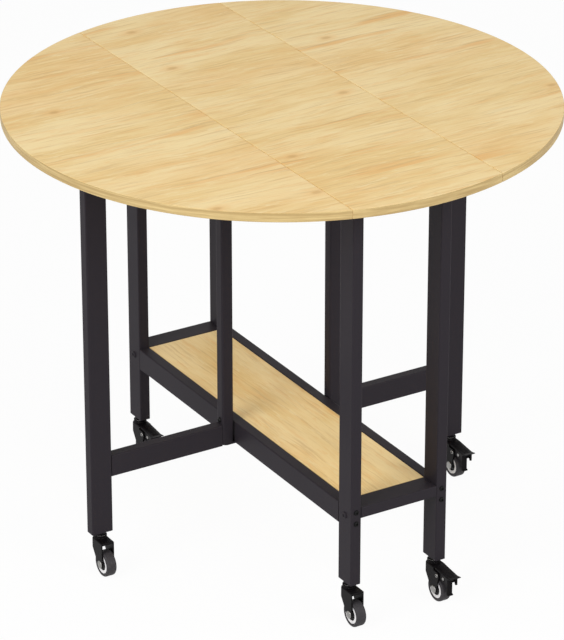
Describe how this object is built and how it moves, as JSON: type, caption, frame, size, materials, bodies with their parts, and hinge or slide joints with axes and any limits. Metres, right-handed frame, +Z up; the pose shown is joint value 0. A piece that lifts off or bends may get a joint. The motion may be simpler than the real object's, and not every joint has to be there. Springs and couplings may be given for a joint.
{
  "type": "folding dining table",
  "caption": "Round drop-leaf dining table with swing-out gate legs, a low shelf between tube rails and swivel casters, some with brake pedals.",
  "frame": {"origin": "on the floor, under the middle of the round top", "axes": "+Z up; X along the central frame with its end rails, +X being the end that the casters trail to; -Y is the front gate's side"},
  "size_m": [0.9, 0.9, 0.763],
  "materials": {
    "oak_laminate": "pale golden oak laminate on board, satin",
    "zinc_steel": "zinc-plated pressed steel",
    "black_coat": "satin black powder coat on steel tube",
    "black_enamel": "semi-gloss black enamel on pressed steel",
    "dark_tread": "dark grey solid rubber tread",
    "pale_plastic": "moulded light grey plastic wheel centre"
  },
  "bodies": {
    "frame": {"centre_top": "oak_laminate", "shelf": "oak_laminate", "leg_front_left": "black_coat", "leg_front_right": "black_coat", "leg_rear_left": "black_coat", "leg_rear_right": "black_coat", "upper_rail_front": "black_coat", "upper_rail_rear": "black_coat", "upper_rail_left": "black_coat", "upper_rail_right": "black_coat", "lower_rail_front": "black_coat", "lower_rail_rear": "black_coat", "lower_rail_left": "black_coat", "lower_rail_right": "black_coat", "hinge_front_left_fixed": "zinc_steel", "hinge_front_right_fixed": "zinc_steel", "hinge_rear_left_fixed": "zinc_steel", "hinge_rear_right_fixed": "zinc_steel", "caster_front_left_stem": "black_enamel", "caster_front_right_stem": "black_enamel", "caster_rear_left_stem": "black_enamel", "caster_rear_right_stem": "black_enamel"},
    "front_leaf_body": {"front_leaf": "oak_laminate", "hinge_front_left_swing": "zinc_steel", "hinge_front_right_swing": "zinc_steel"},
    "rear_leaf_body": {"rear_leaf": "oak_laminate", "hinge_rear_left_swing": "zinc_steel", "hinge_rear_right_swing": "zinc_steel"},
    "front_gate": {"front_gate_leg": "black_coat", "front_gate_post": "black_coat", "front_gate_top_rail": "black_coat", "front_gate_stretcher": "black_coat", "caster_front_gate_stem": "black_enamel"},
    "rear_gate": {"rear_gate_leg": "black_coat", "rear_gate_post": "black_coat", "rear_gate_top_rail": "black_coat", "rear_gate_stretcher": "black_coat", "caster_rear_gate_stem": "black_enamel"},
    "front_left_caster": {"caster_front_left_fork": "black_enamel"},
    "front_left_wheel": {"caster_front_left_core": "pale_plastic", "caster_front_left_tyre": "dark_tread"},
    "front_left_pedal": {"caster_front_left_pedal": "black_enamel"},
    "front_right_caster": {"caster_front_right_fork": "black_enamel"},
    "front_right_wheel": {"caster_front_right_core": "pale_plastic", "caster_front_right_tyre": "dark_tread"},
    "rear_left_caster": {"caster_rear_left_fork": "black_enamel"},
    "rear_left_wheel": {"caster_rear_left_core": "pale_plastic", "caster_rear_left_tyre": "dark_tread"},
    "rear_right_caster": {"caster_rear_right_fork": "black_enamel"},
    "rear_right_wheel": {"caster_rear_right_core": "pale_plastic", "caster_rear_right_tyre": "dark_tread"},
    "rear_right_pedal": {"caster_rear_right_pedal": "black_enamel"},
    "front_gate_caster": {"caster_front_gate_fork": "black_enamel"},
    "front_gate_wheel": {"caster_front_gate_core": "pale_plastic", "caster_front_gate_tyre": "dark_tread"},
    "rear_gate_caster": {"caster_rear_gate_fork": "black_enamel"},
    "rear_gate_wheel": {"caster_rear_gate_core": "pale_plastic", "caster_rear_gate_tyre": "dark_tread"},
    "rear_gate_pedal": {"caster_rear_gate_pedal": "black_enamel"}
  },
  "joints": [
    {"name": "front_leaf_lift", "type": "hinge", "parent": "frame", "child": "front_leaf_body", "pos_m": [0, -0.135, 0.7442], "axis": [-1, 0, 0], "range_deg": [0, 2]},
    {"name": "rear_leaf_lift", "type": "hinge", "parent": "frame", "child": "rear_leaf_body", "pos_m": [0, 0.135, 0.7442], "axis": [1, 0, 0], "range_deg": [0, 2]},
    {"name": "front_gate_swing", "type": "hinge", "parent": "frame", "child": "front_gate", "pos_m": [-0.0095, -0.10333, 0.4], "axis": [0, 0, 1], "range_deg": [0, 90]},
    {"name": "rear_gate_swing", "type": "hinge", "parent": "frame", "child": "rear_gate", "pos_m": [-0.0095, 0.10333, 0.4], "axis": [0, 0, -1], "range_deg": [0, 90]},
    {"name": "front_left_swivel", "type": "hinge", "parent": "frame", "child": "front_left_caster", "pos_m": [-0.341, -0.0805, 0.067], "axis": [0, 0, 1], "continuous": true},
    {"name": "front_left_spin", "type": "hinge", "parent": "front_left_caster", "child": "front_left_wheel", "pos_m": [-0.323, -0.0805, 0.022], "axis": [0, 1, 0], "continuous": true},
    {"name": "front_left_brake", "type": "hinge", "parent": "front_left_caster", "child": "front_left_pedal", "pos_m": [-0.315, -0.0805, 0.0505], "axis": [0, 1, 0], "range_deg": [0, 10]},
    {"name": "front_right_swivel", "type": "hinge", "parent": "frame", "child": "front_right_caster", "pos_m": [0.341, -0.0805, 0.067], "axis": [0, 0, 1], "continuous": true},
    {"name": "front_right_spin", "type": "hinge", "parent": "front_right_caster", "child": "front_right_wheel", "pos_m": [0.359, -0.0805, 0.022], "axis": [0, 1, 0], "continuous": true},
    {"name": "rear_left_swivel", "type": "hinge", "parent": "frame", "child": "rear_left_caster", "pos_m": [-0.341, 0.0805, 0.067], "axis": [0, 0, 1], "continuous": true},
    {"name": "rear_left_spin", "type": "hinge", "parent": "rear_left_caster", "child": "rear_left_wheel", "pos_m": [-0.323, 0.0805, 0.022], "axis": [0, 1, 0], "continuous": true},
    {"name": "rear_right_swivel", "type": "hinge", "parent": "frame", "child": "rear_right_caster", "pos_m": [0.341, 0.0805, 0.067], "axis": [0, 0, 1], "continuous": true},
    {"name": "rear_right_spin", "type": "hinge", "parent": "rear_right_caster", "child": "rear_right_wheel", "pos_m": [0.359, 0.0805, 0.022], "axis": [0, 1, 0], "continuous": true},
    {"name": "rear_right_brake", "type": "hinge", "parent": "rear_right_caster", "child": "rear_right_pedal", "pos_m": [0.367, 0.0805, 0.0505], "axis": [0, 1, 0], "range_deg": [0, 10]},
    {"name": "front_gate_swivel", "type": "hinge", "parent": "front_gate", "child": "front_gate_caster", "pos_m": [-0.0095, -0.341, 0.067], "axis": [0, 0, 1], "continuous": true},
    {"name": "front_gate_spin", "type": "hinge", "parent": "front_gate_caster", "child": "front_gate_wheel", "pos_m": [0.0085, -0.341, 0.022], "axis": [0, 1, 0], "continuous": true},
    {"name": "rear_gate_swivel", "type": "hinge", "parent": "rear_gate", "child": "rear_gate_caster", "pos_m": [-0.0095, 0.341, 0.067], "axis": [0, 0, 1], "continuous": true},
    {"name": "rear_gate_spin", "type": "hinge", "parent": "rear_gate_caster", "child": "rear_gate_wheel", "pos_m": [0.0085, 0.341, 0.022], "axis": [0, 1, 0], "continuous": true},
    {"name": "rear_gate_brake", "type": "hinge", "parent": "rear_gate_caster", "child": "rear_gate_pedal", "pos_m": [0.0165, 0.341, 0.0505], "axis": [0, 1, 0], "range_deg": [0, 10]}
  ]
}
